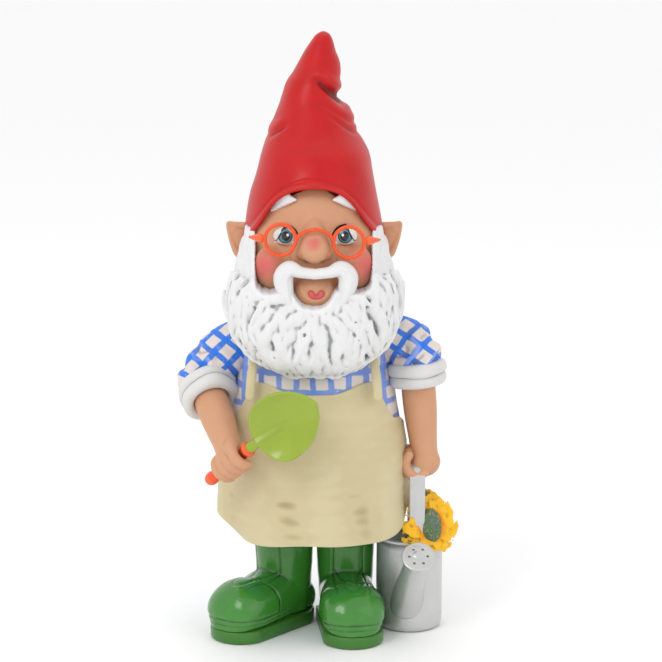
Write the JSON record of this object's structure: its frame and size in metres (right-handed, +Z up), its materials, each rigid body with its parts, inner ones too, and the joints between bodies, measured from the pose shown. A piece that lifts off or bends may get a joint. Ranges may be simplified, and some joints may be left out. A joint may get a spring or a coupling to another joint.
{
  "type": "garden gnome",
  "caption": "Standing garden gnome with pointed hat, full beard, spectacles, apron and boots, holding a trowel and a watering can of sunflowers.",
  "frame": {"origin": "centre of the whole footprint box, on the ground under the soles", "axes": "+Z up; the gnome faces -Y; its own left hand and the watering can are on +X"},
  "size_m": [0.1528, 0.1182, 0.3305],
  "materials": {
    "apron_paint": "matt painted resin",
    "blue_paint": "satin painted resin",
    "cuff_paint": "satin painted resin",
    "dowel": "plain hardwood dowel",
    "eye_paint": "gloss painted resin",
    "green_paint": "gloss painted resin",
    "leaf_paint": "matt painted resin",
    "lime_paint": "gloss painted resin",
    "lip_paint": "satin painted resin",
    "orange_paint": "gloss painted resin",
    "petal_paint": "satin painted resin",
    "plaid_paint": "hand painted plaid, satin",
    "red_paint": "satin painted resin",
    "silver_paint": "metallic painted resin",
    "skin_paint": "satin painted resin",
    "white_hair_paint": "matt painted resin"
  },
  "bodies": {
    "root": {"apron": "apron_paint", "apron_bow": "apron_paint", "apron_tie": "apron_paint", "beard": "white_hair_paint", "can_body": "silver_paint", "can_fill": "leaf_paint", "can_handle": "silver_paint", "can_rose": "silver_paint", "can_spout": "silver_paint", "front_flower_disc": "leaf_paint", "front_flower_petals": "petal_paint", "front_flower_stem": "leaf_paint", "hair": "white_hair_paint", "hat": "red_paint", "hat_dowel": "dowel", "head": "skin_paint", "left_apron_strap": "apron_paint", "left_arm": "skin_paint", "left_arm_dowel": "dowel", "left_boot": "green_paint", "left_cuff": "cuff_paint", "left_ear": "skin_paint", "left_eye": "eye_paint", "left_eyebrow": "white_hair_paint", "left_sleeve": "plaid_paint", "left_sole": "green_paint", "left_temple": "orange_paint", "lip": "lip_paint", "moustache": "white_hair_paint", "neck_dowel": "dowel", "rear_flower_disc": "leaf_paint", "rear_flower_petals": "petal_paint", "rear_flower_stem": "leaf_paint", "right_apron_strap": "apron_paint", "right_arm": "skin_paint", "right_arm_dowel": "dowel", "right_boot": "green_paint", "right_cuff": "cuff_paint", "right_ear": "skin_paint", "right_eye": "eye_paint", "right_eyebrow": "white_hair_paint", "right_sleeve": "plaid_paint", "right_sole": "green_paint", "right_temple": "orange_paint", "shirt": "plaid_paint", "small_flower_disc": "leaf_paint", "small_flower_petals": "petal_paint", "small_flower_stem": "leaf_paint", "spectacle_frame": "orange_paint", "trousers": "blue_paint", "trowel_blade": "lime_paint", "trowel_handle": "orange_paint"}
  },
  "joints": []
}
